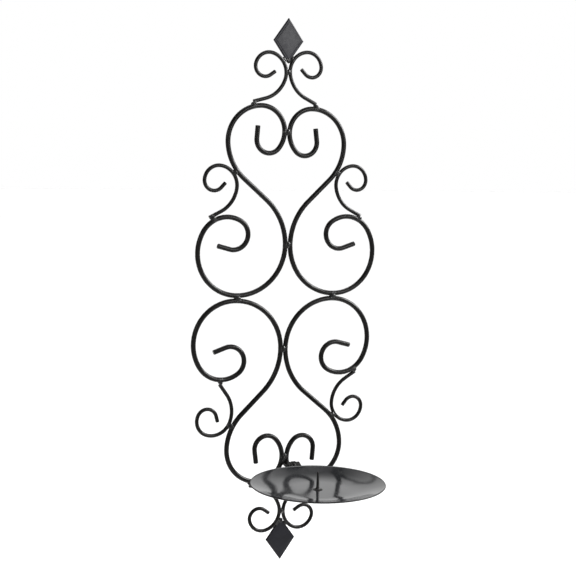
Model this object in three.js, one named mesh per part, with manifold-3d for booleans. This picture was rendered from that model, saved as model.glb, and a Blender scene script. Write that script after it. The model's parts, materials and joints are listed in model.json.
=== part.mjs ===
// Wall sconce candle holder: a frame of bent round wire, welded together in one flat
// plane, with a shallow tray for a pillar candle on an arm that folds about a bolt.
//
// Millimetres. +Z is up, +Y goes into the wall, so the viewer stands on the -Y side,
// and +X is to the viewer's right. The wall is the plane y = 0: every wire and plate
// of the frame has its back in it, as it lay on the welding table.
// The drawing's heights run from the level where the upper and lower pairs of large
// scrolls meet. The finished group is shifted down so that its origin is the place
// of the hanging nail.
import * as THREE from 'three';
import { mergeVertices } from 'three/addons/utils/BufferGeometryUtils.js';
import Module from 'manifold-3d';

const wasm = await Module();
wasm.setup();

// ---- driving dimensions ---------------------------------------------------------
const DEG = Math.PI / 180;
const GAP = 0.3;                 // clearance between neighbouring pieces
const NAIL_HEIGHT = 169;         // hanging nail above the middle of the frame

const LARGE_WIRE = 3.9;          // coated diameters of the two wire sizes
const SMALL_WIRE = 3;
const WIRE_SIDES = 8;
const BEND_STEP = 15;            // degrees of bend between two rings of a wire

// A scroll is bent cold on a jig from one end to the other. Each row is a straight
// length, or a bend's centre-line radius and the angle it turns (minus = clockwise).
const LARGE_BENDS = [
  { straight: 10 },
  { radius: 10.5, turn: -144 },
  { radius: 21, turn: -37 },
  { radius: 19.5, turn: -94 },
  { radius: 28, turn: -95 },
  { radius: 39, turn: -44 },
  { straight: 25.5 },
  { radius: 47.5, turn: 45 },
  { radius: 39.5, turn: 99 },
  { radius: 33.5, turn: 116 },
  { radius: 22.5, turn: 92 },
  { radius: 12, turn: 163 },
  { straight: 10.5 },
];
const SMALL_BENDS = [
  { straight: 5 },
  { radius: 8, turn: 142 },
  { radius: 11.8, turn: 92 },
  { radius: 15.5, turn: 92 },
  { radius: 24, turn: 54 },
  { straight: 10.5 },
];

// Where each scroll's first end lies, drawn as if it were the upper right one, and how
// far its first stretch leans from straight down. They are set by hand for welding, so
// no two are quite alike. side and level mirror a scroll to the left and the bottom.
const LARGE_SCROLLS = [
  { name: 'upper_right_scroll', side: 1, level: 1, x: 23.9, z: 133.8, lean: 7.3 },
  { name: 'upper_left_scroll', side: -1, level: 1, x: 25.5, z: 135.0, lean: 4.6 },
  { name: 'lower_right_scroll', side: 1, level: -1, x: 26.1, z: 135.0, lean: 4.3 },
  { name: 'lower_left_scroll', side: -1, level: -1, x: 23.2, z: 133.6, lean: 7.6 },
];
const SMALL_SCROLLS = [
  { name: 'upper_right_side_curl', side: 1, level: 1, x: 52.8, z: 91.5, lean: 43.0 },
  { name: 'upper_left_side_curl', side: -1, level: 1, x: 51.7, z: 90.4, lean: 43.5 },
  { name: 'lower_right_side_curl', side: 1, level: -1, x: 52.9, z: 91.6, lean: 39.1 },
  { name: 'lower_left_side_curl', side: -1, level: -1, x: 56.2, z: 97.5, lean: 15.0 },
  { name: 'top_right_finial_scroll', side: 1, level: 1, x: 10.8, z: 179.6, lean: 43.9 },
  { name: 'top_left_finial_scroll', side: -1, level: 1, x: 11.3, z: 177.2, lean: 54.9 },
  { name: 'foot_right_finial_scroll', side: 1, level: -1, x: 10.6, z: 176.0, lean: 58.5 },
  { name: 'foot_left_finial_scroll', side: -1, level: -1, x: 11.2, z: 176.0, lean: 53.1 },
];

const DIAMOND = { width: 25.2, height: 34.6, thick: 2, bevel: 0.5 };
const TOP_DIAMOND = { x: -0.3, z: 201.2 };
const FOOT_DIAMOND = { x: -0.6, z: -198.5 };

// The tray is flat out to one radius, curves up to a second, and is straight to its rim.
const TRAY = { radius: 51.5, depth: 5.5, sheet: 1, flat: 22, bend: 42, rings: 5, sides: 48 };
const TRAY_REACH = 69.3;         // tray centre in front of the wall
const RIM_HEIGHT = -134;         // tray rim
const SPIKE = { length: 14, base: 1.25, tip: 0.8, point: 0.7, shank: 1.5 };
const SPIKE_HEAD = { radius: 3.2, face: 2.2, thick: 1.2, edge: 0.4 };
const COLLAR = { radius: 3.7, top: 2.2, thick: 1, edge: 0.25 };
const SEAT_HOLE = 1.8;           // radius of the hole through tray, collar and arm

const PIVOT = { y: -11.8, z: -136.6 };   // axis of the folding bolt, along X
const TAB = { left: 1.6, thick: 2, height: 7, end: 4.2 };
const ARM = { width: 12, thick: 2, heel: -20 };
const EAR = { end: 4.5, foot: -50, shoulder: 150, notch: -20.8, rise: 1.2, front: -34 };
const BOLT = { radius: 2, past: 1.4, chamfer: 0.5 };
const BOLT_HEAD = { radius: 4, shoulder: 3.6, face: 2.2, thick: 2.4, edge: 0.7 };
const BOLT_HOLE = 2.3;
const WASHER = { radius: 4.5, thick: 0.8 };
const NUT = { flats: 7, thick: 3.2 };

const PIN_SIDES = 16;            // facets round the spike and bolt, and round loose rings
const RING_SIDES = 20;
const HOLE_SIDES = 16;

// Half sizes of a weld bead, and its facets.
const WELD = { across: 0.75, along: 1.9, sides: 8, rings: 6 };

// ---- finishes -------------------------------------------------------------------
const blackCoat = new THREE.MeshStandardMaterial({ color: 0x1d1c1b, roughness: 0.45, metalness: 0.3 });
const plateCoat = new THREE.MeshStandardMaterial({ color: 0x3a3a3c, roughness: 0.5, metalness: 0.3 });
const trayEnamel = new THREE.MeshStandardMaterial({ color: 0x1b1c1c, roughness: 0.2, metalness: 0.4 });
const blackSteel = new THREE.MeshStandardMaterial({ color: 0x232323, roughness: 0.4, metalness: 0.7 });

// ---- helpers --------------------------------------------------------------------
const sconce = new THREE.Group();
sconce.position.z = -NAIL_HEIGHT;

function add(name, geometry, material) {
  const mesh = new THREE.Mesh(geometry, material.clone());
  mesh.name = name;
  sconce.add(mesh);
}

function toSolid(geometry) {
  const bare = geometry.clone();
  bare.deleteAttribute('normal');
  bare.deleteAttribute('uv');
  const merged = mergeVertices(bare, 1e-4);
  return new wasm.Manifold(new wasm.Mesh({
    numProp: 3,
    vertProperties: new Float32Array(merged.attributes.position.array),
    triVerts: new Uint32Array(merged.index.array),
  }));
}

function toGeometry(solid) {
  const mesh = solid.getMesh();
  const geometry = new THREE.BufferGeometry();
  geometry.setAttribute('position', new THREE.BufferAttribute(mesh.vertProperties, 3));
  geometry.setIndex(new THREE.BufferAttribute(mesh.triVerts, 1));
  geometry.computeVertexNormals();
  return geometry;
}

// A solid of revolution about the vertical through (x, y). Profile rows are [r, z].
function turned(profile, sides, x, y) {
  const points = profile.map(([r, z]) => new THREE.Vector2(r, z));
  const geometry = new THREE.LatheGeometry(points, sides);
  geometry.rotateX(90 * DEG);
  geometry.translate(x, y, 0);
  return geometry;
}

// A solid of revolution about the pivot axis. Profile rows are [r, x].
function turnedOnPivot(profile, sides) {
  const points = profile.map(([r, x]) => new THREE.Vector2(r, x));
  const geometry = new THREE.LatheGeometry(points, sides);
  geometry.rotateZ(-90 * DEG);
  geometry.translate(0, PIVOT.y, PIVOT.z);
  return geometry;
}

// A flat plate standing in a YZ plane. The outline is drawn with y across and z up.
function sidePlate(shape, left, thick) {
  const geometry = new THREE.ExtrudeGeometry(shape, {
    depth: thick,
    bevelEnabled: false,
    curveSegments: HOLE_SIDES / 2,
  });
  geometry.rotateX(90 * DEG);
  geometry.rotateZ(90 * DEG);
  geometry.translate(left, 0, 0);
  return geometry;
}

function regularPolygon(sides, acrossFlats) {
  const corner = acrossFlats / 2 / Math.cos(Math.PI / sides);
  const shape = new THREE.Shape();
  for (let i = 0; i < sides; i++) {
    const angle = (i + 0.5) * 2 * Math.PI / sides;
    const x = corner * Math.cos(angle);
    const y = corner * Math.sin(angle);
    if (i === 0) shape.moveTo(x, y);
    else shape.lineTo(x, y);
  }
  shape.closePath();
  return shape;
}

// ---- bent wires -----------------------------------------------------------------
// The centre line of a scroll. Its parameter counts rings, so the rings crowd where
// the wire bends and a straight stretch has one only at each end.
class BentWire extends THREE.Curve {
  constructor(bends, scroll, wire) {
    super();
    this.depth = -wire / 2;
    this.side = scroll.side;
    this.level = scroll.level;
    this.stations = [];
    let x = scroll.x;
    let z = scroll.z;
    let heading = (scroll.lean - 90) * DEG;
    for (const bend of bends) {
      const steps = bend.radius ? Math.ceil(Math.abs(bend.turn) / BEND_STEP) : 1;
      for (let i = 0; i < steps; i++) {
        const turn = bend.radius ? bend.turn * DEG / steps : 0;
        const length = bend.radius ? bend.radius * Math.abs(turn) : bend.straight;
        const station = { x, z, heading, turn, length };
        this.stations.push(station);
        [x, z] = this.along(station, 1);
        heading += turn;
      }
    }
  }

  // The place a share of the way from one station to the next.
  along(station, share) {
    const { x, z, heading, turn, length } = station;
    const swept = turn * share;
    const chord = turn ? length * Math.sin(swept / 2) / (turn / 2) : length * share;
    const direction = heading + swept / 2;
    return [x + chord * Math.cos(direction), z + chord * Math.sin(direction)];
  }

  getPoint(t) {
    const count = this.stations.length;
    const index = Math.min(Math.floor(t * count), count - 1);
    const [x, z] = this.along(this.stations[index], t * count - index);
    return new THREE.Vector3(this.side * x, this.depth, this.level * z);
  }

  // Steps of the extrusion fall on the stations, not at equal lengths.
  getUtoTmapping(u) {
    return u;
  }
}

const wires = {};

function addScroll(scroll, bends, diameter) {
  const curve = new BentWire(bends, scroll, diameter);
  const geometry = new THREE.ExtrudeGeometry(regularPolygon(WIRE_SIDES, diameter), {
    steps: curve.stations.length,
    extrudePath: curve,
  });
  wires[scroll.name] = { curve, radius: diameter / 2 };
  add(scroll.name, geometry, blackCoat);
}

// ---- frame ----------------------------------------------------------------------
function addFrame() {
  for (const scroll of LARGE_SCROLLS) addScroll(scroll, LARGE_BENDS, LARGE_WIRE);
  for (const scroll of SMALL_SCROLLS) addScroll(scroll, SMALL_BENDS, SMALL_WIRE);
  addDiamond('top_diamond', TOP_DIAMOND);
  addDiamond('foot_diamond', FOOT_DIAMOND);
}

// A lozenge of sheet with its back in the wall plane and a small bevel on its edges.
function addDiamond(name, centre) {
  const { width, height, thick, bevel } = DIAMOND;
  const halfWidth = width / 2 - bevel;
  const halfHeight = height / 2 - bevel;
  const shape = new THREE.Shape();
  shape.moveTo(halfWidth, 0);
  shape.lineTo(0, halfHeight);
  shape.lineTo(-halfWidth, 0);
  shape.lineTo(0, -halfHeight);
  shape.closePath();
  const geometry = new THREE.ExtrudeGeometry(shape, {
    depth: thick - 2 * bevel,
    bevelEnabled: true,
    bevelSize: bevel,
    bevelThickness: bevel,
    bevelSegments: 1,
  });
  geometry.rotateX(90 * DEG);
  geometry.translate(centre.x, -bevel, centre.z);
  add(name, geometry, plateCoat);
}

// ---- weld beads -----------------------------------------------------------------
// The closest points of two wires within reach of a rough place on the drawing.
function meeting(first, second, near) {
  const samples = 600;
  const reach = 22;
  const pick = ({ curve }) => {
    const points = [];
    for (let i = 0; i <= samples; i++) {
      const point = curve.getPoint(i / samples);
      if (Math.hypot(point.x - near[0], point.z - near[1]) < reach) points.push(point);
    }
    return points;
  };
  let best = { distance: Infinity };
  const others = pick(second);
  for (const a of pick(first)) {
    for (const b of others) {
      const distance = a.distanceTo(b);
      if (distance < best.distance) best = { distance, a, b };
    }
  }
  return best;
}

// A bead lies in the valley in front of two wires, long way across the line between
// their centres, and just clears both.
function addWeld(name, firstName, secondName, near) {
  const first = wires[firstName];
  const second = wires[secondName];
  const { a, b } = meeting(first, second, near);
  const corner = 1 / Math.cos(Math.PI / WIRE_SIDES);
  const radius = Math.max(first.radius, second.radius);
  const reach = radius * corner + GAP + WELD.across;
  const half = Math.hypot(a.x - b.x, a.z - b.z) / 2;
  const front = Math.min(a.y, b.y) - Math.sqrt(Math.max(reach * reach - half * half, 0));
  const angle = Math.atan2(b.z - a.z, b.x - a.x);
  addBead(name, -angle / DEG, (a.x + b.x) / 2, front + GAP + WELD.across, (a.z + b.z) / 2);
}

function addWelds() {
  addWeld('upper_hook_weld', 'upper_left_scroll', 'upper_right_scroll', [0, 130]);
  addWeld('upper_waist_weld', 'upper_left_scroll', 'upper_right_scroll', [0, 42]);
  addWeld('left_middle_weld', 'upper_left_scroll', 'lower_left_scroll', [-40, 0]);
  addWeld('right_middle_weld', 'upper_right_scroll', 'lower_right_scroll', [42, 0]);
  addWeld('lower_waist_weld', 'lower_left_scroll', 'lower_right_scroll', [0, -42]);
  addWeld('lower_hook_weld', 'lower_left_scroll', 'lower_right_scroll', [0, -130]);
  for (const level of ['upper', 'lower']) {
    for (const side of ['left', 'right']) {
      const x = side === 'left' ? -1 : 1;
      const z = level === 'upper' ? 1 : -1;
      const large = `${level}_${side}_scroll`;
      const curl = `${level}_${side}_side_curl`;
      const finial = `${level === 'upper' ? 'top' : 'foot'}_${side}_finial_scroll`;
      addWeld(`${level}_${side}_curl_weld`, curl, large, [x * 43, z * 97]);
      addWeld(`${level}_${side}_curl_tail_weld`, curl, large, [x * 60, z * 64]);
      addWeld(`${level}_${side}_finial_tail_weld`, finial, large, [x * 27, z * 151]);
    }
  }
  addWeld('top_finial_weld', 'top_left_finial_scroll', 'top_right_finial_scroll', [0, 176]);
  addWeld('foot_finial_weld', 'foot_left_finial_scroll', 'foot_right_finial_scroll', [0, -176]);
  const tip = DIAMOND.height / 2 - WELD.along;
  addBead('top_diamond_weld', 90, TOP_DIAMOND.x, -SMALL_WIRE, TOP_DIAMOND.z - tip);
  addBead('foot_diamond_weld', 90, FOOT_DIAMOND.x, -SMALL_WIRE, FOOT_DIAMOND.z + tip);
  addBead('pivot_tab_weld', 0, TAB.left - GAP - WELD.across, -LARGE_WIRE - GAP, PIVOT.z + 2);
}

// A bead on a front face at depth y, its long way turned from upright by so many degrees.
function addBead(name, degrees, x, y, z) {
  const bead = new THREE.SphereGeometry(1, WELD.sides, WELD.rings);
  bead.scale(WELD.across, WELD.across, WELD.along);
  bead.rotateY(degrees * DEG);
  bead.translate(x, y - GAP - WELD.across, z);
  add(name, bead, blackCoat);
}

// ---- candle tray ----------------------------------------------------------------
const centreDrop = RIM_HEIGHT - TRAY.depth;

function trayTop(r) {
  const { radius, depth, flat, bend } = TRAY;
  const slope = depth / (radius - (flat + bend) / 2);
  const curved = Math.min(Math.max(r - flat, 0), bend - flat);
  const straight = Math.max(r - bend, 0);
  return centreDrop + slope * (curved * curved / 2 / (bend - flat) + straight);
}

// A shallow dish pressed from sheet, with a round edge. A ring of facets round the
// collar keeps the rest of the flat clear as the candle's seat.
function addTray() {
  const profile = [[SEAT_HOLE, centreDrop], [COLLAR.radius + GAP, centreDrop]];
  const rimRadius = TRAY.radius - TRAY.sheet / 2;
  const radii = [];
  for (let i = 0; i <= TRAY.rings; i++) radii.push(TRAY.flat + (TRAY.bend - TRAY.flat) * i / TRAY.rings);
  radii.push(rimRadius);
  for (const r of radii) profile.push([r, trayTop(r)]);
  profile.push([TRAY.radius, RIM_HEIGHT - TRAY.sheet / 2]);
  for (const r of radii.reverse()) profile.push([r, trayTop(r) - TRAY.sheet]);
  profile.push([SEAT_HOLE, centreDrop - TRAY.sheet]);
  profile.push(profile[0]);
  profile.reverse();
  add('candle_tray', turned(profile, TRAY.sides, 0, -TRAY_REACH), trayEnamel);
}

// The spike is a pin through the collar, tray and arm, headed over below the arm.
function addSpike() {
  const collarTop = centreDrop + GAP + COLLAR.thick;
  const armBottom = centreDrop - TRAY.sheet - GAP - ARM.thick;
  const headTop = armBottom - GAP;
  const headBottom = headTop - SPIKE_HEAD.thick;
  const tip = centreDrop + SPIKE.length;
  const profile = [
    [0, headBottom],
    [SPIKE_HEAD.face, headBottom],
    [SPIKE_HEAD.radius, headTop - SPIKE_HEAD.edge],
    [SPIKE_HEAD.radius, headTop],
    [SPIKE.shank, headTop],
    [SPIKE.shank, collarTop],
    [SPIKE.base, collarTop + GAP],
    [SPIKE.tip, tip - SPIKE.point],
    [0, tip],
  ];
  add('candle_spike', turned(profile, PIN_SIDES, 0, -TRAY_REACH), blackSteel);

  const bottom = centreDrop + GAP;
  const collar = [
    [SEAT_HOLE, bottom],
    [COLLAR.radius, bottom],
    [COLLAR.radius, bottom + COLLAR.edge],
    [COLLAR.top, bottom + COLLAR.thick],
    [SEAT_HOLE, bottom + COLLAR.thick],
    [SEAT_HOLE, bottom],
  ];
  add('spike_collar', turned(collar, RING_SIDES, 0, -TRAY_REACH), blackSteel);
}

// ---- folding arm ----------------------------------------------------------------
const earLeft = TAB.left + TAB.thick + GAP;

// A tab stands edge-on in front of the right hook and carries the bolt.
function addTab() {
  const back = -LARGE_WIRE - GAP;
  const shape = new THREE.Shape();
  const half = TAB.height / 2;
  const lean = Math.asin(half / TAB.end);
  shape.moveTo(back, PIVOT.z - half);
  shape.lineTo(back, PIVOT.z + half);
  shape.absarc(PIVOT.y, PIVOT.z, TAB.end, lean, 2 * Math.PI - lean, false);
  shape.closePath();
  const hole = new THREE.Path();
  hole.absarc(PIVOT.y, PIVOT.z, BOLT_HOLE, 0, 2 * Math.PI, true);
  shape.holes.push(hole);
  add('pivot_tab', sidePlate(shape, TAB.left, TAB.thick), blackCoat);
}

// The arm is a strip under the tray. Its right edge is folded up at the back into an
// ear that sits on the bolt beside the tab. The ear's edge comes down behind the bolt to
// a notch, and from there runs out level with the strip.
function addArm() {
  const top = centreDrop - TRAY.sheet - GAP;
  const bottom = top - ARM.thick;
  const right = earLeft + ARM.thick;
  const left = right - ARM.width;
  const middle = (left + right) / 2;
  const tongue = new THREE.Shape();
  tongue.moveTo(left, ARM.heel);
  tongue.lineTo(left, -TRAY_REACH);
  tongue.absarc(middle, -TRAY_REACH, ARM.width / 2, Math.PI, 2 * Math.PI, false);
  tongue.lineTo(right, ARM.heel);
  tongue.closePath();
  const hole = new THREE.Path();
  hole.absarc(0, -TRAY_REACH, SEAT_HOLE, 0, 2 * Math.PI, true);
  tongue.holes.push(hole);
  const strip = new THREE.ExtrudeGeometry(tongue, {
    depth: ARM.thick,
    bevelEnabled: false,
    curveSegments: RING_SIDES / 2,
  });
  strip.translate(0, 0, bottom);

  const outline = new THREE.Shape();
  outline.moveTo(EAR.front, bottom);
  outline.lineTo(PIVOT.y, bottom);
  outline.absarc(PIVOT.y, PIVOT.z, EAR.end, EAR.foot * DEG, EAR.shoulder * DEG, false);
  outline.lineTo(EAR.notch, top + EAR.rise);
  outline.lineTo(EAR.front, top);
  outline.closePath();
  const boltHole = new THREE.Path();
  boltHole.absarc(PIVOT.y, PIVOT.z, BOLT_HOLE, 0, 2 * Math.PI, true);
  outline.holes.push(boltHole);
  const ear = sidePlate(outline, earLeft, ARM.thick);
  add('tray_arm', toGeometry(toSolid(strip).add(toSolid(ear))), blackCoat);
}

// ---- bolt, washer and nut -------------------------------------------------------
function addFastener() {
  const headFace = TAB.left - GAP;
  const washerLeft = earLeft + ARM.thick + GAP;
  const nutLeft = washerLeft + WASHER.thick + GAP;
  const boltEnd = nutLeft + NUT.thick + BOLT.past;
  const bolt = [
    [0, headFace - BOLT_HEAD.thick],
    [BOLT_HEAD.face, headFace - BOLT_HEAD.thick],
    [BOLT_HEAD.shoulder, headFace - BOLT_HEAD.thick + BOLT_HEAD.edge],
    [BOLT_HEAD.radius, headFace - BOLT_HEAD.edge],
    [BOLT_HEAD.radius, headFace],
    [BOLT.radius, headFace],
    [BOLT.radius, boltEnd - BOLT.chamfer],
    [BOLT.radius - BOLT.chamfer, boltEnd],
    [0, boltEnd],
  ];
  add('pivot_bolt', turnedOnPivot(bolt, PIN_SIDES), blackSteel);

  const washer = [
    [BOLT_HOLE, washerLeft],
    [WASHER.radius, washerLeft],
    [WASHER.radius, washerLeft + WASHER.thick],
    [BOLT_HOLE, washerLeft + WASHER.thick],
    [BOLT_HOLE, washerLeft],
  ];
  add('pivot_washer', turnedOnPivot(washer, RING_SIDES), blackSteel);

  const hex = regularPolygon(6, NUT.flats);
  const hole = new THREE.Path();
  hole.absarc(0, 0, BOLT_HOLE, 0, 2 * Math.PI, true);
  hex.holes.push(hole);
  const nut = new THREE.ExtrudeGeometry(hex, {
    depth: NUT.thick,
    bevelEnabled: false,
    curveSegments: HOLE_SIDES / 2,
  });
  nut.rotateY(90 * DEG);
  nut.translate(nutLeft, PIVOT.y, PIVOT.z);
  add('pivot_nut', nut, blackSteel);
}

addFrame();
addWelds();
addTray();
addSpike();
addTab();
addArm();
addFastener();

export default sconce;
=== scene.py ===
"""Looks of the wall sconce candle holder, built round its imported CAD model.

Metres, in the CAD frame: +Z up, +Y into the wall (y = 0), the nail at the origin.
Each bent wire is made again as a fine round bar along the line of its CAD solid, the
welds as fused beads, and the tray, spike and fasteners with their real edges.
"""
import json
import math

import bmesh
import bpy
import numpy as np
from mathutils import Matrix, Vector, noise


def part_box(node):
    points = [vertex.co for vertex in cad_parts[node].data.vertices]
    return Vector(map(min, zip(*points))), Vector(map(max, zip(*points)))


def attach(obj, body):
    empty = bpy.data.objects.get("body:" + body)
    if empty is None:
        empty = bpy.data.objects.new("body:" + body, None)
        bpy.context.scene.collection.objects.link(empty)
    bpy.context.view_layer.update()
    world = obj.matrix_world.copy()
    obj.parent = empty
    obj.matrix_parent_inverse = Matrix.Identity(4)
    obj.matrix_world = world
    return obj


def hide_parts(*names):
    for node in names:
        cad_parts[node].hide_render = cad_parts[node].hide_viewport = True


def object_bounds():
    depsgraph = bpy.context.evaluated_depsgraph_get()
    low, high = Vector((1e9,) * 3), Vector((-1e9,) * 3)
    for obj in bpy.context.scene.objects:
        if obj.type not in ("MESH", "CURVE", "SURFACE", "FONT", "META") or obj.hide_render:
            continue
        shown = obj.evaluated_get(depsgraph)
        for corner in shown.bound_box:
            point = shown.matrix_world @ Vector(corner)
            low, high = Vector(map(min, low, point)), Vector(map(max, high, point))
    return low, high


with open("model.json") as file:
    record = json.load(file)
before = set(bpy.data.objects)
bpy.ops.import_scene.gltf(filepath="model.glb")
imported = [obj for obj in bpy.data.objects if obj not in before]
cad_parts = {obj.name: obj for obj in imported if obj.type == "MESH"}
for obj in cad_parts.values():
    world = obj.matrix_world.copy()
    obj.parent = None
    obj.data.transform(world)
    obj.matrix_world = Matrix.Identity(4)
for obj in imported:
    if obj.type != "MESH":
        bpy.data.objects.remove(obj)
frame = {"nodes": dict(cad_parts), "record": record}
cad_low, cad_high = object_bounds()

MM = 0.001
MERGE = 0.01 * MM          # CAD points nearer than this are one point
NODES = frame["nodes"]
BODIES = frame["record"]["behaviour"]["bodies"]
BODY_OF = {node: body for body, nodes in BODIES.items() for node in nodes}
SLOT_OF = {s["node"]: s["material_slot"] for s in frame["record"]["subparts"]}
LARGE_WIRES = sorted(n for n in NODES if n.endswith("_scroll") and "finial" not in n)
SMALL_WIRES = sorted(n for n in NODES if n.endswith(("_side_curl", "finial_scroll")))
WELDS = sorted(n for n in NODES if n.endswith("_weld"))


# ---- materials ---------------------------------------------------------------------
def set_range(node, from_low, from_high, to_low, to_high):
    """Fills in the four limits of a Map Range node."""
    node.inputs["From Min"].default_value = from_low
    node.inputs["From Max"].default_value = from_high
    node.inputs["To Min"].default_value = to_low
    node.inputs["To Max"].default_value = to_high


class Nodes:
    """A node-based material, with a short way to add and join nodes."""

    def __init__(self, name, **sockets):
        self.material = bpy.data.materials.new(name)
        self.material.use_nodes = True
        self.tree = self.material.node_tree
        self.shader = self.tree.nodes["Principled BSDF"]
        for socket, value in sockets.items():
            self.shader.inputs[socket.replace("_", " ")].default_value = value
        self.place = self.add("ShaderNodeTexCoord").outputs["Object"]

    def add(self, kind, **settings):
        """A new node of a kind, with some of its settings."""
        node = self.tree.nodes.new(kind)
        for key, value in settings.items():
            setattr(node, key, value)
        return node

    def join(self, out, into):
        """Links an output to an input."""
        self.tree.links.new(out, into)

    def noise(self, size, detail=2.0, roughness=0.5, stretch=None):
        """Noise whose features are about `size` metres across."""
        texture = self.add("ShaderNodeTexNoise")
        texture.inputs["Scale"].default_value = 1 / size
        texture.inputs["Detail"].default_value = detail
        texture.inputs["Roughness"].default_value = roughness
        place = self.place
        if stretch:
            mapping = self.add("ShaderNodeMapping")
            mapping.inputs["Scale"].default_value = stretch
            self.join(place, mapping.inputs["Vector"])
            place = mapping.outputs["Vector"]
        self.join(place, texture.inputs["Vector"])
        return texture.outputs["Fac"]

    def range(self, value, low, high, start=0.3, end=0.7):
        """A value from start to end spread out from low to high."""
        node = self.add("ShaderNodeMapRange")
        self.join(value, node.inputs["Value"])
        set_range(node, start, end, low, high)
        return node.outputs["Result"]

    def mix(self, share, first, second):
        """Two colours, or outputs of other nodes, mixed by a share."""
        node = self.add("ShaderNodeMix", data_type="RGBA")
        self.join(share, node.inputs[0])
        for socket, value in ((node.inputs[6], first), (node.inputs[7], second)):
            if isinstance(value, tuple):
                socket.default_value = (*value, 1)
            else:
                self.join(value, socket)
        return node.outputs[2]

    def bump(self, height, depth, after=None):
        """A bumped normal, `depth` metres deep, on top of another one if given."""
        node = self.add("ShaderNodeBump")
        node.inputs["Distance"].default_value = depth
        node.inputs["Strength"].default_value = 1
        self.join(height, node.inputs["Height"])
        if after:
            self.join(after, node.inputs["Normal"])
        return node.outputs["Normal"]

    def colour(self, out):
        self.join(out, self.shader.inputs["Base Color"])

    def rough(self, out):
        self.join(out, self.shader.inputs["Roughness"])

    def normal(self, out):
        self.join(out, self.shader.inputs["Normal"])


# the specks' light greys: bare steel, and also painted highlight standing in for glints on the weld beads
BARE_METAL_AND_GLINT = ((0.10, 0.095, 0.09), (0.26, 0.25, 0.24))
CHIP_AND_GLINT_EDGE = 0.04           # how much noise a speck takes to fade in: a chip in the paint, and also painted highlight on the weld beads


def powder_coat(name, specular, dark, light, smooth, coarse, chips_and_glints=None):
    """Stoved powder paint: a fine orange peel, uneven gloss and a faint mottle.

    If chips is given, light grey specks show where a fine noise rises above it: bare metal where the paint
    is chipped, and also painted highlight that stands in for glints on the weld beads.
    """
    m = Nodes(name, Specular_IOR_Level=specular)
    mottle = m.range(m.noise(size=9 * MM, detail=3), 0, 1)
    paint = m.mix(mottle, dark, light)
    # painted highlight: these light grey specks are partly chipped paint and partly glints painted onto
    # the weld beads
    if chips_and_glints:
        specks = m.noise(size=1.3 * MM, detail=3)
        worn_and_glint = m.range(specks, 0, 1, start=chips_and_glints, end=chips_and_glints + CHIP_AND_GLINT_EDGE)
        bare_and_glint = m.mix(m.range(m.noise(size=0.5 * MM), 0, 1), *BARE_METAL_AND_GLINT)
        paint = m.mix(worn_and_glint, paint, bare_and_glint)
    m.colour(paint)
    m.rough(m.range(m.noise(size=3.5 * MM, detail=3), smooth, coarse))
    peel = m.bump(m.noise(size=1.4 * MM, detail=1), depth=0.014 * MM)
    grain = m.bump(m.noise(size=0.35 * MM, detail=2), depth=0.004 * MM, after=peel)
    m.normal(grain)
    return m.material


def tray_enamel():
    """Glossy black enamel on pressed sheet: a soft mirror with slow waves in it."""
    m = Nodes("tray_enamel", Specular_IOR_Level=0.62)
    mottle = m.range(m.noise(size=14 * MM, detail=3), 0, 1)
    m.colour(m.mix(mottle, (0.005, 0.0055, 0.006), (0.009, 0.009, 0.010)))
    m.rough(m.range(m.noise(size=11 * MM, detail=4, roughness=0.6), 0.09, 0.14))
    waves = m.bump(m.noise(size=16 * MM, detail=1), depth=0.05 * MM)
    ripple = m.bump(m.noise(size=1.6 * MM, detail=1), depth=0.006 * MM, after=waves)
    m.normal(ripple)
    return m.material


def black_steel():
    """Blackened steel with fine turning marks and rubbed patches."""
    m = Nodes("black_steel", Specular_IOR_Level=0.10)
    mottle = m.range(m.noise(size=1.8 * MM, detail=3), 0, 1)
    m.colour(m.mix(mottle, (0.003, 0.003, 0.003), (0.007, 0.0068, 0.0065)))
    m.rough(m.range(m.noise(size=1.2 * MM, detail=2), 0.24, 0.40))
    marks = m.noise(size=0.5 * MM, detail=2, stretch=(1, 6, 6))
    m.normal(m.bump(marks, depth=0.01 * MM))
    return m.material


MATERIALS = {
    "black_coat": powder_coat(
        "black_coat", specular=0.09, dark=(0.002, 0.0019, 0.0017), light=(0.0035, 0.0032, 0.003),
        smooth=0.22, coarse=0.30),
    "plate_coat": powder_coat(
        "plate_coat", specular=0.13, dark=(0.003, 0.003, 0.0045), light=(0.005, 0.005, 0.0072),
        smooth=0.34, coarse=0.42),
    "tray_enamel": tray_enamel(),
    "black_steel": black_steel(),
}
# the weld beads get light grey specks: partly chipped paint, partly painted highlight for their glints
WELD_COAT = powder_coat(
    "weld_coat", specular=0.16, dark=(0.002, 0.002, 0.002), light=(0.004, 0.004, 0.004),
    smooth=0.20, coarse=0.34, chips_and_glints=0.66)
LIP_COAT = powder_coat(
    "tray_lip", specular=0.10, dark=(0.002, 0.002, 0.002), light=(0.004, 0.004, 0.004),
    smooth=0.40, coarse=0.50)


# ---- helpers -----------------------------------------------------------------------
def add_piece(name, mesh, node, sharp, material=None):
    """A new piece that stands for a CAD node, on its body and in its material slot.

    Edges that turn by more than `sharp` degrees are left sharp.
    """
    mesh.shade_smooth()
    mesh.set_sharp_from_angle(angle=math.radians(sharp))
    piece = bpy.data.objects.new(name, mesh)
    bpy.context.scene.collection.objects.link(piece)
    mesh.materials.clear()
    mesh.materials.append(material or MATERIALS[SLOT_OF[node]])
    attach(piece, BODY_OF[node])
    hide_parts(node)
    return piece


def mesh_from(name, points, faces):
    """A mesh from its points and faces."""
    mesh = bpy.data.meshes.new(name)
    mesh.from_pydata([tuple(p) for p in points], [], faces)
    mesh.validate()
    return mesh


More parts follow.
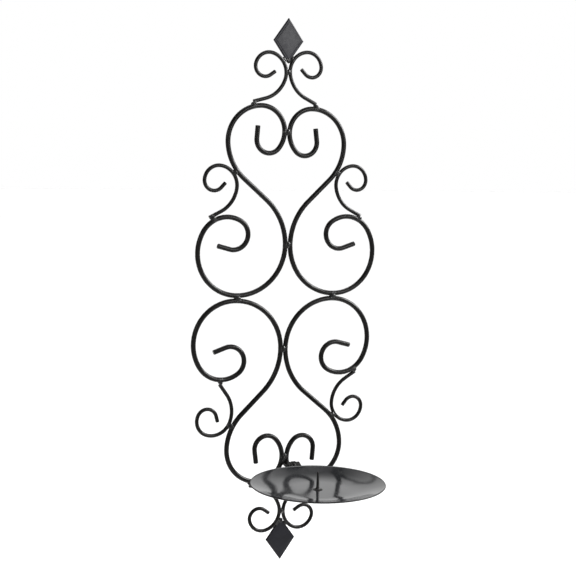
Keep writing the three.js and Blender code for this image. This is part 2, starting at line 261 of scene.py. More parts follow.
def rings_mesh(name, rings, close_ends=True):
    """A closed skin over a list of equal rings of points, with a fan at each end."""
    count = len(rings[0])
    points = [p for ring in rings for p in ring]
    faces = []
    for i in range(len(rings) - 1):
        for j in range(count):
            a = i * count + j
            b = i * count + (j + 1) % count
            faces.append((a, b, b + count, a + count))
    if close_ends:
        for first, order in ((0, -1), ((len(rings) - 1) * count, 1)):
            middle = len(points)
            points.append(np.mean(points[first:first + count], axis=0))
            for j in range(count):
                pair = (first + j, first + (j + 1) % count)
                faces.append((middle, *pair[::order]))
    return mesh_from(name, points, faces)


def weld_seam(mesh):
    """Joins the points that lie on each other where a closed profile meets itself."""
    work = bmesh.new()
    work.from_mesh(mesh)
    bmesh.ops.remove_doubles(work, verts=work.verts, dist=MERGE / 10)
    work.to_mesh(mesh)
    work.free()


def half_size(node):
    """Half the width and half the height of a CAD node, seen from the front."""
    low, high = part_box(node)
    return np.array(((high.x - low.x) / 2, (high.z - low.z) / 2))


def centre_of(node):
    """The middle of a CAD node's box."""
    low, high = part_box(node)
    return (low + high) / 2


# ---- bent wires --------------------------------------------------------------------
CAD_SIDES = 8              # sides of the tube that stands for a wire in the CAD model
FLAT = 0.02 * MM           # how far a point may lie off the flat that faces the viewer
EDGE_MATCH = 0.02          # how far an edge's length may be off, as a share of it
BEND_STEP = 3              # degrees of bend between two rings of a bar
LONGEST_STEP = 2.2 * MM    # and the most length between them
WANDER = 0.008             # share by which a drawn wire's thickness wanders
WANDER_LENGTH = 7 * MM     # and the length over which it does
STRAIGHT = 1e-3            # radians of bend up to which a stretch is straight
CUT_CHAMFER = 0.16         # chamfer of a cut end, as a share of the wire's radius
LARGE_SIDES = 28
SMALL_SIDES = 22
LINES = {}                 # node: points and headings along its bar, and its radius


def centre_line(node):
    """The line of a CAD wire: a point and a direction (x, z) at each of its rings.

    Each ring of the CAD solid has one short edge on the flat that faces the viewer. Its
    middle lies over the centre line, and it is square to the line's direction.
    """
    mesh = bmesh.new()
    mesh.from_mesh(NODES[node].data)
    bmesh.ops.remove_doubles(mesh, verts=mesh.verts, dist=MERGE)
    low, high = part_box(node)
    radius = (high.y - low.y) / 2
    front = {v for v in mesh.verts if v.co.y < low.y + FLAT}
    flat_edges = [e for e in mesh.edges if set(e.verts) <= front]
    across = 2 * radius * math.tan(math.pi / CAD_SIDES)
    rings = [e for e in flat_edges if abs(e.calc_length() - across) < EDGE_MATCH * across]
    ring_of = {v: i for i, e in enumerate(rings) for v in e.verts}
    beside = {i: set() for i in range(len(rings))}
    for edge in flat_edges:
        a, b = (ring_of[v] for v in edge.verts)
        if a != b:
            beside[a].add(b)
            beside[b].add(a)
    chain = [min(i for i in beside if len(beside[i]) == 1)]
    while len(chain) < len(rings):
        chain.append(next(i for i in beside[chain[-1]] if i not in chain[-2:]))
    points, normals = [], []
    for i in chain:
        a, b = (np.array((v.co.x, v.co.z)) for v in rings[i].verts)
        points.append((a + b) / 2)
        normals.append((b - a) / np.linalg.norm(b - a))
    mesh.free()
    points = np.array(points)
    directions = []
    for i, (x, z) in enumerate(normals):
        ahead = points[min(i + 1, len(points) - 1)] - points[max(i - 1, 0)]
        square = np.array((-z, x))
        directions.append(square if square @ ahead > 0 else -square)
    return points, np.array(directions), radius


def smooth_line(points, directions):
    """Fills in the arcs between the rings. Returns finer points and headings."""
    fine, headings = [], []
    for i in range(len(points) - 1):
        a, b = points[i], points[i + 1]
        turn = math.acos(np.clip(directions[i] @ directions[i + 1], -1, 1))
        chord = np.linalg.norm(b - a)
        handle = chord / 3
        if turn > STRAIGHT:
            handle = 4 / 3 * math.tan(turn / 4) * chord / (2 * math.sin(turn / 2))
        p, q = a + directions[i] * handle, b - directions[i + 1] * handle
        steps = max(1, math.ceil(math.degrees(turn) / BEND_STEP), math.ceil(chord / LONGEST_STEP))
        for k in range(steps):
            t = k / steps
            s = 1 - t
            fine.append(s ** 3 * a + 3 * s * s * t * p + 3 * s * t * t * q + t ** 3 * b)
            headings.append(s * s * (p - a) + 2 * s * t * (q - p) + t * t * (b - q))
    fine.append(points[-1])
    headings.append(directions[-1])
    headings = [h / np.linalg.norm(h) for h in headings]
    return np.array(fine), np.array(headings)


def ring_at(point, heading, depth, radius, sides):
    """A circle of points square to a heading in the wall's plane."""
    angles = np.arange(sides) * 2 * math.pi / sides
    across = np.array((-heading[1], 0, heading[0]))
    outward = np.array((0, -1, 0))
    centre = np.array((point[0], depth, point[1]))
    return centre + radius * (np.cos(angles)[:, None] * across + np.sin(angles)[:, None] * outward)


def bent_wire(node, sides, seed):
    """A round bar along a CAD wire, with drawn-wire unevenness and chamfered cut ends."""
    points, directions, radius = centre_line(node)
    fine, headings = smooth_line(points, directions)
    LINES[node] = (fine, headings, radius)
    chamfer = CUT_CHAMFER * radius
    rings = []
    travelled = 0
    for i, (point, heading) in enumerate(zip(fine, headings)):
        travelled += np.linalg.norm(point - fine[i - 1]) if i else 0
        uneven = 1 + WANDER * noise.noise(Vector((travelled / WANDER_LENGTH, seed, 0)))
        rings.append(ring_at(point, heading, -radius, radius * uneven, sides))
    for end, outward in ((0, -1), (-1, 1)):
        point, heading = fine[end], headings[end]
        inner = point - outward * heading * chamfer
        rings[end] = ring_at(inner, heading, -radius, radius, sides)
        cap = ring_at(point, heading, -radius, radius - chamfer, sides)
        rings.insert(0 if outward < 0 else len(rings), cap)
    add_piece(node + "_bar", rings_mesh(node + "_bar", rings), node, sharp=35)


def make_wires():
    """All the bent wires. The welds need their lines, so they come first."""
    for seed, node in enumerate(LARGE_WIRES):
        bent_wire(node, LARGE_SIDES, seed)
    for seed, node in enumerate(SMALL_WIRES, start=10):
        bent_wire(node, SMALL_SIDES, seed)


# ---- welds -------------------------------------------------------------------------
WELD_REACH = 4.2 * MM      # how far a bead's wires may pass from its middle
WELD_SLEEVE = 3.6 * MM     # half the length of the thickened stretch in a bead
PLATE_REACH = 6 * MM       # the same two at a plate
PLATE_SLEEVE = 2.6 * MM
PLATE_SEARCH = 12 * MM     # how far above or below its bead a wire may touch a plate
SLEEVE_SIDES = 16
SLEEVE_SWELL = 1.04        # its radius in the middle, in wire radii
SLEEVE_SINK = 0.22         # and how much of that it has lost at its ends
FRONT_LUMP = (0.95, 0.75, 1.35)    # half sizes across, deep and along, in wire radii
BACK_LUMP = (0.95, 0.6, 1.35)
PLATE_LUMP = (1.05, 0.6, 1.7)
FRONT_DEPTH = 1.55         # how far their middles stand off the wall, in wire radii
BACK_DEPTH = 0.70
PLATE_DEPTH = 1.25
PLATE_LEAN = 0.8           # how far a plate's beads sit in from the wires' middles, likewise
CROTCH_LUMP = (1.9 * MM, 0.75 * MM, 2.2 * MM)
CROTCH_DEPTH = 1.6 * MM
UNEVENNESS = 0.10          # of a lump's surface, as a share of its size
UNEVEN_SCALE = 1.3         # how closely its hollows follow each other
BEAD_SHARP = 80            # degrees: a bead is smooth all over


def near_wires(x, z, reach):
    """Wires that pass within reach of a point of the frame, nearest first."""
    found = []
    for node, (fine, _, _) in LINES.items():
        distance = np.hypot(fine[:, 0] - x, fine[:, 1] - z)
        nearest = int(distance.argmin())
        if distance[nearest] < reach:
            found.append((distance[nearest], node, nearest))
    return sorted(found)


def sleeve(node, nearest, half):
    """A short stretch of thickened wire that sinks back into the bar at its ends."""
    fine, headings, radius = LINES[node]
    along = np.concatenate(([0], np.cumsum(np.hypot(*np.diff(fine, axis=0).T))))
    rings = []
    for i in range(len(fine)):
        share = (along[i] - along[nearest]) / half
        if abs(share) <= 1:
            swell = SLEEVE_SWELL - SLEEVE_SINK * share ** 4
            rings.append(ring_at(fine[i], headings[i], -radius, radius * swell, SLEEVE_SIDES))
    return rings_mesh("sleeve", rings) if len(rings) > 1 else None


def lump(centre, size, turn, seed):
    """An uneven drop of weld metal, with half sizes across, deep and along, turned by an angle."""
    mesh = bmesh.new()
    bmesh.ops.create_icosphere(mesh, subdivisions=3, radius=1)
    for v in mesh.verts:
        v.co *= 1 + UNEVENNESS * noise.noise(v.co * UNEVEN_SCALE + Vector((seed, 0, 0)))
        v.co = Vector((v.co.x * size[0], v.co.y * size[1], v.co.z * size[2]))
    mesh.transform(Matrix.Translation(Vector(centre)) @ Matrix.Rotation(turn, 4, "Y"))
    made = bpy.data.meshes.new("lump")
    mesh.to_mesh(made)
    mesh.free()
    return made


def fuse(name, meshes, voxel, passes):
    """One smooth skin round several closed meshes."""
    joined = bmesh.new()
    for mesh in meshes:
        joined.from_mesh(mesh)
        bpy.data.meshes.remove(mesh)
    data = bpy.data.meshes.new(name)
    joined.to_mesh(data)
    joined.free()
    holder = bpy.data.objects.new(name, data)
    bpy.context.scene.collection.objects.link(holder)
    remesh = holder.modifiers.new("skin", "REMESH")
    remesh.mode = "VOXEL"
    remesh.voxel_size = voxel
    smooth = holder.modifiers.new("smooth", "SMOOTH")
    smooth.iterations = passes
    smooth.factor = 0.5
    graph = bpy.context.evaluated_depsgraph_get()
    skin = bpy.data.meshes.new_from_object(holder.evaluated_get(graph))
    bpy.data.objects.remove(holder)
    bpy.data.meshes.remove(data)
    skin.name = name
    return skin


def weld(node, seed):
    """A bead fused over the place where the wires next to a CAD bead meet."""
    centre = centre_of(node)
    meeting = near_wires(centre.x, centre.z, WELD_REACH)[:2]
    sleeves = [sleeve(wire, nearest, WELD_SLEEVE) for _, wire, nearest in meeting]
    radius = np.mean([LINES[wire][2] for _, wire, _ in meeting])
    x, z = np.mean([LINES[wire][0][nearest] for _, wire, nearest in meeting], axis=0)
    _, wire, nearest = meeting[0]
    heading = LINES[wire][1][nearest]
    turn = math.atan2(heading[0], heading[1])
    front = lump((x, -radius * FRONT_DEPTH, z), [s * radius for s in FRONT_LUMP], turn, seed)
    back = lump((x, -radius * BACK_DEPTH, z), [s * radius for s in BACK_LUMP], turn, seed + 50)
    skin = fuse(node + "_bead", [*filter(None, sleeves), front, back], voxel=0.22 * MM, passes=6)
    add_piece(node + "_bead", skin, node, sharp=BEAD_SHARP, material=WELD_COAT)


def plate_weld(node, plate, seed):
    """Beads over the places where a plate's inner edges pass the wires beside them."""
    middle = centre_of(plate)
    bead = centre_of(node)
    half = half_size(plate)
    normal = half[::-1] / np.hypot(*half)
    meshes = []
    for _, wire, _ in near_wires(bead.x, bead.z, PLATE_REACH)[:2]:
        fine, headings, radius = LINES[wire]
        offset = fine - (middle.x, middle.z)
        distance = (np.abs(offset) / half).sum(axis=1) - 1
        beside = np.abs(fine[:, 1] - bead.z) < PLATE_SEARCH
        nearest = int(np.where(beside, distance, np.inf).argmin())
        outward = normal * np.sign(offset[nearest])
        x, z = fine[nearest] - outward * radius * PLATE_LEAN
        turn = math.atan2(headings[nearest][0], headings[nearest][1])
        size = [s * radius for s in PLATE_LUMP]
        meshes.append(lump((x, -radius * PLATE_DEPTH, z), size, turn, seed + len(meshes)))
        meshes.append(sleeve(wire, nearest, PLATE_SLEEVE))
    meshes.append(lump((bead.x, -CROTCH_DEPTH, bead.z), CROTCH_LUMP, 0, seed))
    skin = fuse(node + "_bead", meshes, voxel=0.2 * MM, passes=5)
    add_piece(node + "_bead", skin, node, sharp=BEAD_SHARP, material=WELD_COAT)


def make_welds():
    """A bead for each CAD weld, of another kind where a plate is welded on."""
    for seed, node in enumerate(WELDS):
        plate = node.removesuffix("_weld")
        if plate in NODES:
            plate_weld(node, plate, seed)
        else:
            weld(node, seed)


# ---- turned and flat pieces --------------------------------------------------------
def turned(profile, sides, axis, along="Z"):
    """Rings of a solid of revolution. Profile rows are (radius, height along the axis)."""
    rings = []
    for radius, height in profile:
        ring = []
        for k in range(sides):
            angle = 2 * math.pi * k / sides
            c, s = radius * math.cos(angle), radius * math.sin(angle)
            ring.append((c, s, height) if along == "Z" else (height, c, s))
        rings.append(np.array(ring) + np.array(axis))
    return rings


def arc(centre_r, centre_h, radius, start, end, steps):
    """Profile rows along a rounded corner; angles in degrees."""
    rows = []
    for k in range(steps + 1):
        angle = math.radians(start + (end - start) * k / steps)
        rows.append((centre_r + radius * math.cos(angle), centre_h + radius * math.sin(angle)))
    return rows


TRAY_SHEET = 1 * MM
TRAY_FLAT = 22 * MM        # radius of the tray's level middle
TRAY_BEND = 42 * MM        # radius where its curve has run out into the straight brim
TRAY_RINGS = 48            # rings on each face between its middle and its lip
TRAY_FIRST_RING = 4 * MM
TRAY_SIDES = 144
PIN_HOLE = 1.8 * MM
PIN_SHANK = 1.5 * MM
SPIKE_BASE = 1.22 * MM
SPIKE_TIP = 0.80 * MM
ALMOST_ZERO = 0.01 * MM    # radius of a turned end before its fan closes it


def make_tray():
    """The pressed dish: flat in the middle, curved up to a straight brim and a round lip."""
    low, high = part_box("candle_tray")
    radius = (high.x - low.x) / 2
    axis = ((low.x + high.x) / 2, (low.y + high.y) / 2, 0)
    half = TRAY_SHEET / 2
    curve = TRAY_BEND - TRAY_FLAT
    slope = (high.z - low.z - TRAY_SHEET) / (radius - (TRAY_FLAT + TRAY_BEND) / 2)

    def top(r):
        """Height of the dish's upper face at a distance from its middle."""
        curved = min(max(r - TRAY_FLAT, 0), curve)
        straight = max(r - TRAY_BEND, 0)
        return low.z + TRAY_SHEET + slope * (curved ** 2 / 2 / curve + straight)

    radii = [PIN_HOLE, PIN_HOLE + 0.2 * MM, *np.linspace(TRAY_FIRST_RING, radius - half, TRAY_RINGS)]
    rows = [(r, top(r)) for r in radii]
    rows += arc(radius - half, high.z - half, half, start=75, end=-75, steps=8)
    rows += [(r, top(r) - TRAY_SHEET) for r in radii[::-1]]
    rows.append(rows[0])
    mesh = rings_mesh("candle_tray_dish", turned(rows[::-1], TRAY_SIDES, axis), close_ends=False)
    weld_seam(mesh)
    add_piece("candle_tray_dish", mesh, "candle_tray", sharp=50)
    mesh.materials.append(LIP_COAT)
    for face in mesh.polygons:
        from_axis = math.hypot(face.center.x - axis[0], face.center.y - axis[1])
        face.material_index = int(from_axis > radius - half)


def make_spike():
    """The spike: a tapered point on a pin, headed over under the arm."""
    low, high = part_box("candle_spike")
    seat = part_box("spike_collar")[1].z
    under_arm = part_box("tray_arm")[0].z - 0.05 * MM
    axis = ((low.x + high.x) / 2, (low.y + high.y) / 2, 0)
    head = (high.x - low.x) / 2
    rows = [(ALMOST_ZERO, low.z), (head * 0.45, low.z + 0.02 * MM)]
    rows += arc(head * 0.62, low.z + 0.75 * MM, head * 0.38, start=-75, end=0, steps=6)
    rows += [(head, under_arm), (PIN_SHANK, under_arm), (PIN_SHANK, seat - 0.1 * MM)]
    rows += [(SPIKE_BASE + 0.2 * MM, seat + 0.05 * MM), (SPIKE_BASE, seat + 0.5 * MM)]
    rows += [(SPIKE_TIP, high.z - 0.7 * MM), (SPIKE_TIP * 0.8, high.z - 0.3 * MM)]
    rows += [(SPIKE_TIP * 0.4, high.z - 0.04 * MM), (ALMOST_ZERO, high.z)]
    mesh = rings_mesh("candle_spike_pin", turned(rows, sides=32, axis=axis))
    add_piece("candle_spike_pin", mesh, "candle_spike", sharp=35)


def make_collar():
    """The thin flared collar round the spike's foot, hollow for the pin."""
    low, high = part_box("spike_collar")
    axis = ((low.x + high.x) / 2, (low.y + high.y) / 2, 0)
    radius = (high.x - low.x) / 2
    bottom = low.z - 0.25 * MM
    rows = [(PIN_SHANK, bottom), (radius, bottom), (radius, bottom + 0.15 * MM)]
    rows += [(radius * 0.8, bottom + 0.3 * MM), (radius * 0.6, bottom + 0.55 * MM)]
    rows += [(radius * 0.46, high.z - 0.1 * MM), (PIN_SHANK + 0.12 * MM, high.z)]
    rows += [(PIN_SHANK, high.z), (PIN_SHANK, bottom)]
    mesh = rings_mesh("spike_collar_flare", turned(rows, sides=40, axis=axis), close_ends=False)
    weld_seam(mesh)
    add_piece("spike_collar_flare", mesh, "spike_collar", sharp=35)


PLATE_CORNER = 0.28 * MM   # rounding of a diamond's four corners
CORNER_STEPS = 3           # steps from a corner's middle to each of its ends
PLATE_EDGE = 1.05          # height of its straight edge, in mm like the rows below
EDGE_ROLL = (0.95, 0.8)    # how far the edge rolls in and up
PLATE_BACK = [(0.35, 0), (0, 0.3)]
PLATE_FACE = (             # (inset, depth) from the roll's top through the groove to the face
    (1.15, 1.86), (1.35, 1.80), (1.6, 1.80), (1.8, 1.88), (2.4, 1.93), (5.0, 1.98), (8.0, 2.0))
SHEARED_EDGE = 0.3 * MM    # rounding of the tab's and the arm's edges


def lozenge_ring(node, inset, depth):
    """The outline of a diamond plate, moved in by inset, at a depth from its back."""
    middle = centre_of(node)
    half = half_size(node)
    apothem = half[0] * half[1] / np.hypot(*half)
    shrink = 1 - (inset + PLATE_CORNER) / apothem
    normal = math.atan2(half[0], half[1])
    ring = []
    for k in range(4):
        turn = k * math.pi / 2
        x, z = half * shrink * (math.cos(turn), math.sin(turn))
        spread = normal if k % 2 else math.pi / 2 - normal
        for step in range(-CORNER_STEPS, CORNER_STEPS + 1):
            angle = turn + spread * step / CORNER_STEPS
            ring.append((middle.x + x + PLATE_CORNER * math.cos(angle), -depth,
                         middle.z + z + PLATE_CORNER * math.sin(angle)))
    return np.array(ring)


def make_diamond(node):
    """A pressed plate: a rolled edge, a fine groove inside it and a slightly raised face."""
    inward, upward = EDGE_ROLL
    rows = [*PLATE_BACK, (0, PLATE_EDGE)]
    for angle in np.radians((20, 40, 60, 80)):
        rows.append((inward * (1 - math.cos(angle)), PLATE_EDGE + upward * math.sin(angle)))
    rows += PLATE_FACE
    rings = [lozenge_ring(node, inset * MM, depth * MM) for inset, depth in rows]
    mesh = rings_mesh(node + "_plate", rings[::-1])
    add_piece(node + "_plate", mesh, node, sharp=28)


def soften_edges(node):
    """Rounds the sheared edges of a CAD sheet piece and gives it its finish."""
    piece = NODES[node]
    piece.data.materials.clear()
    piece.data.materials.append(MATERIALS[SLOT_OF[node]])
    join = piece.modifiers.new("join", "WELD")
    join.merge_threshold = MERGE
    flats = piece.modifiers.new("flats", "DECIMATE")
    flats.decimate_type = "DISSOLVE"
    flats.angle_limit = math.radians(1)
    bevel = piece.modifiers.new("edges", "BEVEL")
    bevel.width = SHEARED_EDGE
    bevel.segments = 3
    bevel.limit_method = "ANGLE"
    bevel.angle_limit = math.radians(30)
    bevel.harden_normals = False
    for face in piece.data.polygons:
        face.use_smooth = False


def make_sheet_pieces():
    make_diamond("top_diamond")
    make_diamond("foot_diamond")
    soften_edges("pivot_tab")
    soften_edges("tray_arm")


# ---- bolt, washer and nut ----------------------------------------------------------
PITCH = 0.7 * MM
THREAD_DEPTH = 0.4 * MM
THREAD_RADIUS = 1.95 * MM
THREAD_FLANK = 1.25        # steepness of its flanks: above 1 they leave a flat crest
THREAD_MARGIN = 0.3 * MM   # plain stretches at its two ends
END_CHAMFER = 0.55 * MM    # how much narrower the bolt's end is
RINGS_PER_TURN = 8
BOLT_SIDES = 48
HEAD_ROUND = 1.5 * MM      # rounding of the pan head's face
HEAD_CHAMFER = 0.2 * MM    # easing of its underside
FASTENER_SHARP = 30        # degrees
CROSS = (2.6 * MM, 4.2 * MM, 0.9 * MM)    # the driver recess: twice its depth, its span, a slot's width
CROSS_TAPER = 0.45         # what is left of the slots at the bottom of the recess
WASHER_HOLE = 2.15 * MM
NUT_HOLE = 2.05 * MM
NUT_FACE = 0.475           # radius of its round end faces, as a share of its width over flats
NUT_CHAMFER = 0.5 * MM     # how far its chamfered corners reach along it
CHAMFER_SLOPE = 1.7
NUT_SIDES = 72
COUNTERSINK = 0.25 * MM    # easing of its hole's outer edge


def thread_radius(x, angle):
    """The bolt's radius in its thread, at a place along it and an angle round it."""
    turn = (x / PITCH - angle / (2 * math.pi)) % 1
    return THREAD_RADIUS - THREAD_DEPTH * min(1, abs(2 * turn - 1) * THREAD_FLANK)


def make_bolt():
    """An M4 bolt: a pan head with a cross recess, and a thread past the tab."""
    low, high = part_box("pivot_bolt")
    axis = (0, (low.y + high.y) / 2, (low.z + high.z) / 2)
    head = (high.z - low.z) / 2
    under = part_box("pivot_tab")[0].x - 0.05 * MM
    rows = [(0.3 * MM, low.x + 0.02 * MM)]
    rows += arc(head - HEAD_ROUND, low.x + HEAD_ROUND + 0.02 * MM, HEAD_ROUND, start=250, end=185, steps=6)
    rows += [(head, low.x + HEAD_ROUND + 0.1 * MM), (head, under - HEAD_CHAMFER)]
    rows += [(head - HEAD_CHAMFER, under), (THREAD_RADIUS, under + 0.01 * MM)]
    rings = turned(rows, BOLT_SIDES, axis, along="X")
    start, end = under + THREAD_MARGIN, high.x - THREAD_MARGIN
    count = math.ceil((end - start) / (PITCH / RINGS_PER_TURN))
    for i in range(count + 1):
        x = start + (end - start) * i / count
        ring = []
        for k in range(BOLT_SIDES):
            angle = 2 * math.pi * k / BOLT_SIDES
            radius = thread_radius(x, angle)
            ring.append((x, radius * math.cos(angle), radius * math.sin(angle)))
        rings.append(np.array(ring) + np.array(axis))
    rings += turned([(THREAD_RADIUS - END_CHAMFER, high.x)], BOLT_SIDES, axis, along="X")
    mesh = rings_mesh("pivot_bolt_screw", rings)
    piece = add_piece("pivot_bolt_screw", mesh, "pivot_bolt", sharp=FASTENER_SHARP)
    cut_cross(piece, axis, low.x)


def cut_cross(piece, axis, face):
    """The driver recess in the bolt's head."""
    deep, span, width = CROSS
    cutter = bmesh.new()
    for turn in (0, math.pi / 2):
        made = bmesh.ops.create_cube(cutter, size=1)["verts"]
        for v in made:
            taper = 1 if v.co.x < 0 else CROSS_TAPER
            v.co = Vector((v.co.x * deep, v.co.y * span * taper, v.co.z * width * taper))
        bmesh.ops.rotate(cutter, verts=made, cent=(0, 0, 0), matrix=Matrix.Rotation(turn, 3, "X"))
    bmesh.ops.translate(cutter, verts=cutter.verts, vec=(face, axis[1], axis[2]))
    bmesh.ops.recalc_face_normals(cutter, faces=cutter.faces)
    data = bpy.data.meshes.new("cross")
    cutter.to_mesh(data)
    cutter.free()
    tool = bpy.data.objects.new("cross", data)
    bpy.context.scene.collection.objects.link(tool)
    cut = piece.modifiers.new("recess", "BOOLEAN")
    cut.operation = "DIFFERENCE"
    cut.object = tool
    cut.solver = "EXACT"
    cut.use_self = True
    graph = bpy.context.evaluated_depsgraph_get()
    result = bpy.data.meshes.new_from_object(piece.evaluated_get(graph))
    piece.modifiers.clear()
    piece.data = result
    bpy.data.objects.remove(tool)
    result.shade_smooth()
    result.set_sharp_from_angle(angle=math.radians(FASTENER_SHARP))


def make_washer():
    """A flat washer with eased outer edges."""
    low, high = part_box("pivot_washer")
    axis = (0, (low.y + high.y) / 2, (low.z + high.z) / 2)
    outer, ease = (high.z - low.z) / 2, 0.15 * MM
    rows = [(WASHER_HOLE, low.x), (outer - ease, low.x), (outer, low.x + ease)]
    rows += [(outer, high.x - ease), (outer - ease, high.x), (WASHER_HOLE, high.x)]
    rows.append(rows[0])
    mesh = rings_mesh("pivot_washer_ring", turned(rows, sides=56, axis=axis, along="X"), close_ends=False)
    weld_seam(mesh)
    add_piece("pivot_washer_ring", mesh, "pivot_washer", sharp=FASTENER_SHARP)


def make_nut():
    """A hexagon nut with its corners chamfered on both faces."""
    low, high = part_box("pivot_nut")
    centre_y, centre_z = (low.y + high.y) / 2, (low.z + high.z) / 2
    flats = high.z - low.z
    face = flats * NUT_FACE

    def hexagon(angle):
        """Distance from the nut's middle to its flats, in some direction."""
        turn = (angle + math.pi / 6) % (math.pi / 3) - math.pi / 6
        return flats / 2 / math.cos(turn)

    def outline(x, limit):
        """The hexagon at x, cut off by a circle of radius limit."""
        ring = []
        for k in range(NUT_SIDES):
            angle = 2 * math.pi * (k + 0.5) / NUT_SIDES + math.pi / 2
            radius = min(hexagon(angle), limit)
            ring.append((x, centre_y + radius * math.cos(angle), centre_z + radius * math.sin(angle)))
        return np.array(ring)

    depths = np.linspace(0, NUT_CHAMFER, 6)[1:]
    rings = [outline(low.x, NUT_HOLE), outline(low.x, face)]
    rings += [outline(low.x + d, face + d * CHAMFER_SLOPE) for d in depths]
    rings += [outline(high.x - d, face + d * CHAMFER_SLOPE) for d in depths[::-1]]
    rings += [outline(high.x, face), outline(high.x, NUT_HOLE + COUNTERSINK)]
    rings += [outline(high.x - COUNTERSINK, NUT_HOLE), rings[0]]
    mesh = rings_mesh("pivot_nut_hexagon", rings, close_ends=False)
    weld_seam(mesh)
    add_piece("pivot_nut_hexagon", mesh, "pivot_nut", sharp=25)


# ---- stage, lights and camera ------------------------------------------------------
FLOOR_SIZE = 40            # metres from the middle to each edge
FLOOR_DROP = 0.75          # metres from the sconce's foot down to the floor
BACKDROP_TURN = 23.84      # where the white backdrop stands, in degrees from +Y towards +X
SUN_STRENGTH = 2.75
SUN_SPREAD = 64            # degrees across
SUN_TILT = (-6, 8, 0)      # degrees away from straight down
CAMERA_TURN = -23.84       # degrees round the object, from straight in front of it
CAMERA_RISE = 6.16         # degrees above its level
CAMERA_ROLL = 0.97
CAMERA_DISTANCE = 933 * MM
CAMERA_TARGET = Vector((2.4, -1.8, -161.9)) * MM
CAMERA_LENS = 73.05        # mm, on a sensor 36 mm wide


def sine(degrees):
    return math.sin(math.radians(degrees))


def cosine(degrees):
    return math.cos(math.radians(degrees))


def make_stage():
    """A wide pale floor a little below the hanging sconce."""
    height = cad_low.z - FLOOR_DROP
    corners = [(x * FLOOR_SIZE, y * FLOOR_SIZE, height) for x, y in ((-1, -1), (1, -1), (1, 1), (-1, 1))]
    mesh = mesh_from("floor", corners, [(0, 1, 2, 3)])
    m = Nodes("floor_paint", Roughness=0.9)
    patches = m.range(m.noise(size=0.4, detail=2), 0, 1)
    m.colour(m.mix(patches, (0.86, 0.86, 0.86), (0.88, 0.88, 0.88)))
    mesh.materials.append(m.material)
    floor = bpy.data.objects.new("floor", mesh)
    bpy.context.scene.collection.objects.link(floor)


def add_lamp(light):
    """A light's object, linked to the scene."""
    lamp = bpy.data.objects.new(light.name, light)
    bpy.context.scene.collection.objects.link(lamp)
    return lamp


def softbox(name, place, aim, size, radiance):
    """A square soft light of so many metres a side, facing a point, equally bright all over."""
    light = bpy.data.lights.new(name, "AREA")
    light.shape = "SQUARE"
    light.size = size
    light.energy = radiance * math.pi * size * size
    lamp = add_lamp(light)
    lamp.location = place
    lamp.rotation_mode = "QUATERNION"
    lamp.rotation_quaternion = (Vector(aim) - Vector(place)).to_track_quat("-Z", "Y")


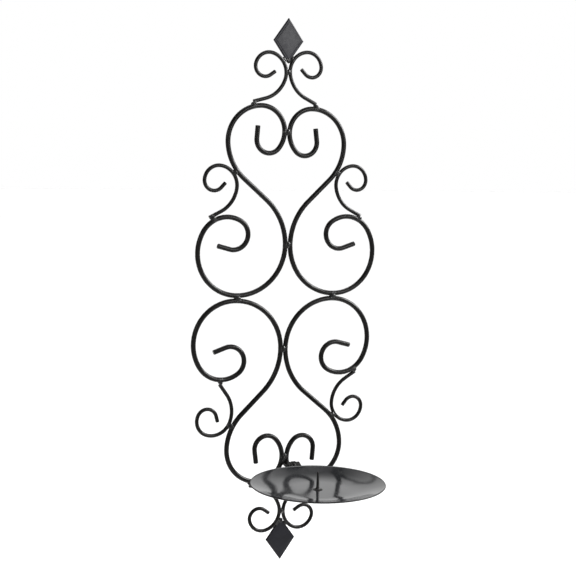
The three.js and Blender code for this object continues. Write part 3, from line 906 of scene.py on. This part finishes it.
def make_sky():
    """A studio that is white behind the sconce and round the horizon, and dim overhead."""
    world = bpy.data.worlds.new("studio")
    world.use_nodes = True
    tree = world.node_tree
    direction = tree.nodes.new("ShaderNodeTexCoord").outputs["Generated"]
    parts = tree.nodes.new("ShaderNodeSeparateXYZ")
    tree.links.new(direction, parts.inputs["Vector"])
    facing = tree.nodes.new("ShaderNodeVectorMath")
    facing.operation = "DOT_PRODUCT"
    facing.inputs[1].default_value = (sine(BACKDROP_TURN), cosine(BACKDROP_TURN), 0)
    tree.links.new(direction, facing.inputs[0])

    def fade(value, near, far, bright, dim):
        """A value eased from bright at near to dim at far."""
        node = tree.nodes.new("ShaderNodeMapRange")
        node.interpolation_type = "SMOOTHSTEP"
        set_range(node, near, far, bright, dim)
        tree.links.new(value, node.inputs["Value"])
        return node.outputs["Result"]

    def fade_up(low, high, bright, dim):
        """A fade between two elevations, in degrees."""
        return fade(parts.outputs["Z"], sine(low), sine(high), bright, dim)

    def combine(operation, first, second):
        """Two values put together by a Math node."""
        node = tree.nodes.new("ShaderNodeMath")
        node.operation = operation
        tree.links.new(first, node.inputs[0])
        tree.links.new(second, node.inputs[1])
        return node.outputs["Value"]

    overhead = fade_up(24, 48, 1.0, 0.28)
    horizon = fade_up(1, 16, 1.0, 0.0)
    backdrop = fade(facing.outputs["Value"], cosine(62), cosine(25), 0.5, 1.0)
    strength = combine("MULTIPLY", overhead, combine("MAXIMUM", backdrop, horizon))
    background = tree.nodes["Background"]
    background.inputs["Color"].default_value = (1, 1, 1, 1)
    tree.links.new(strength, background.inputs["Strength"])
    bpy.context.scene.world = world


def make_lights():
    """The sky, a wide sun from overhead and three softboxes that the enamel mirrors."""
    make_sky()
    sun = bpy.data.lights.new("overhead", "SUN")
    sun.energy = SUN_STRENGTH
    sun.angle = math.radians(SUN_SPREAD)
    add_lamp(sun).rotation_euler = [math.radians(a) for a in SUN_TILT]
    softbox("front_card", place=(0.64, -1.46, 0.25), aim=(0, 0, -0.10), size=0.4, radiance=34)
    softbox("key_softbox", place=(1.5, -0.35, 0.75), aim=(0, 0, -0.17), size=0.85, radiance=56)
    softbox("left_card", place=(-1.5, -0.9, 0.5), aim=(0, 0, -0.17), size=0.5, radiance=12)
    bpy.context.scene.view_settings.view_transform = "Standard"


def make_camera():
    """The camera, turned about its target from straight in front of the wall."""
    level = cosine(CAMERA_RISE)
    back = Vector((sine(CAMERA_TURN) * level, -cosine(CAMERA_TURN) * level, sine(CAMERA_RISE)))
    right = (-back).cross(Vector((0, 0, 1))).normalized()
    up = right.cross(-back)
    rolled_right = right * cosine(CAMERA_ROLL) + up * sine(CAMERA_ROLL)
    rolled_up = up * cosine(CAMERA_ROLL) - right * sine(CAMERA_ROLL)
    data = bpy.data.cameras.new("camera")
    data.lens = CAMERA_LENS
    data.sensor_width = 36
    data.clip_start = 0.01
    camera = bpy.data.objects.new("camera", data)
    axes = Matrix((rolled_right, rolled_up, back)).transposed().to_4x4()
    camera.matrix_world = Matrix.Translation(CAMERA_TARGET + back * CAMERA_DISTANCE) @ axes
    bpy.context.scene.collection.objects.link(camera)
    bpy.context.scene.camera = camera


make_wires()
make_welds()
make_sheet_pieces()
make_tray()
make_spike()
make_collar()
make_bolt()
make_washer()
make_nut()
make_stage()
make_lights()
make_camera()
